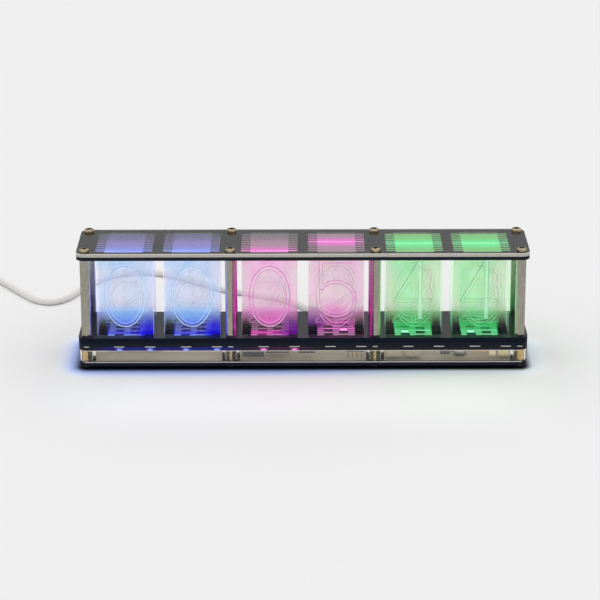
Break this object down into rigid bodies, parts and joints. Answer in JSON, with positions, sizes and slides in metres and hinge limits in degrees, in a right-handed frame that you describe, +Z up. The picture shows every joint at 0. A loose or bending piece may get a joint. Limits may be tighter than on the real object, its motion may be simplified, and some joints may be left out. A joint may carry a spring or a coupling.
{
  "type": "edge-lit digit clock",
  "caption": "Long low desk clock: stacks of clear engraved digit plates lit from below, between a black deck and a clear cover on hexagonal posts, over a clear base that shows its circuit.",
  "frame": {"origin": "on the table under the middle of the clock's sheets", "axes": "+X to the clock's right as seen from the front, +Y to the rear, +Z up"},
  "size_m": [0.3726, 0.1862, 0.0694],
  "materials": {
    "clear_acrylic": "polished clear sheet",
    "blue_plates": "polished clear sheet with an engraved digit, lit blue",
    "pink_plates": "polished clear sheet with an engraved digit, lit pink",
    "green_plates": "polished clear sheet with an engraved digit, lit green",
    "black_acrylic": "polished black sheet",
    "board": "black solder mask",
    "light_package": "dark moulded package",
    "tin": "tinned",
    "nickel": "bright nickel plate",
    "screw_steel": "bronze-tinted nickel plate",
    "brass": "turned",
    "chip_black": "moulded epoxy",
    "can_black": "shrunk sleeve",
    "bright_metal": "drawn can",
    "brown_epoxy": "moulded",
    "cream_plastic": "moulded",
    "ivory_nylon": "moulded",
    "button_black": "moulded",
    "white_vinyl": "smooth satin",
    "tie_fabric": "hook and loop"
  },
  "bodies": {
    "clock": {"top_cover": "clear_acrylic", "top_frame": "black_acrylic", "hours_tens_plates": "blue_plates", "hours_units_plates": "blue_plates", "minutes_tens_plates": "pink_plates", "minutes_units_plates": "pink_plates", "seconds_tens_plates": "green_plates", "seconds_units_plates": "green_plates", "deck_plate": "black_acrylic", "light_mask": "black_acrylic", "led_board": "board", "led_packages": "light_package", "edge_pads": "tin", "base_frame_upper": "clear_acrylic", "base_frame_middle": "clear_acrylic", "base_frame_lower": "clear_acrylic", "bottom_plate": "black_acrylic", "hex_posts": "nickel", "brass_standoffs": "brass", "top_screws": "screw_steel", "bottom_screws": "screw_steel", "pin_strip": "chip_black", "power_capacitor": "can_black", "cell_holder": "chip_black", "backup_cell": "bright_metal", "clock_chip": "chip_black", "voltage_regulator": "bright_metal", "controller_chip": "chip_black", "pin_header": "chip_black", "header_pins": "brass", "wire_connectors": "ivory_nylon", "inductor": "chip_black", "crystal": "bright_metal", "tantalum_capacitor": "brown_epoxy", "film_capacitor": "cream_plastic", "trimmer": "ivory_nylon", "power_socket": "bright_metal", "switch_bodies": "chip_black", "plug_tip": "bright_metal", "plug_body": "white_vinyl", "strain_relief": "white_vinyl", "cord_run": "white_vinyl", "cord_coil": "white_vinyl", "cord_tie": "tie_fabric", "cord_tail": "white_vinyl", "far_plug_body": "white_vinyl", "far_plug_shell": "bright_metal"},
    "mode_button": {"mode_button": "button_black"},
    "up_button": {"up_button": "button_black"},
    "down_button": {"down_button": "button_black"}
  },
  "joints": [
    {"name": "mode_button_press", "type": "slide", "parent": "clock", "child": "mode_button", "axis": [0, -1, 0], "range_m": [0, 0.0003], "stiffness_N_per_m": 3000},
    {"name": "up_button_press", "type": "slide", "parent": "clock", "child": "up_button", "axis": [0, -1, 0], "range_m": [0, 0.0003], "stiffness_N_per_m": 3000},
    {"name": "down_button_press", "type": "slide", "parent": "clock", "child": "down_button", "axis": [0, -1, 0], "range_m": [0, 0.0003], "stiffness_N_per_m": 3000}
  ]
}
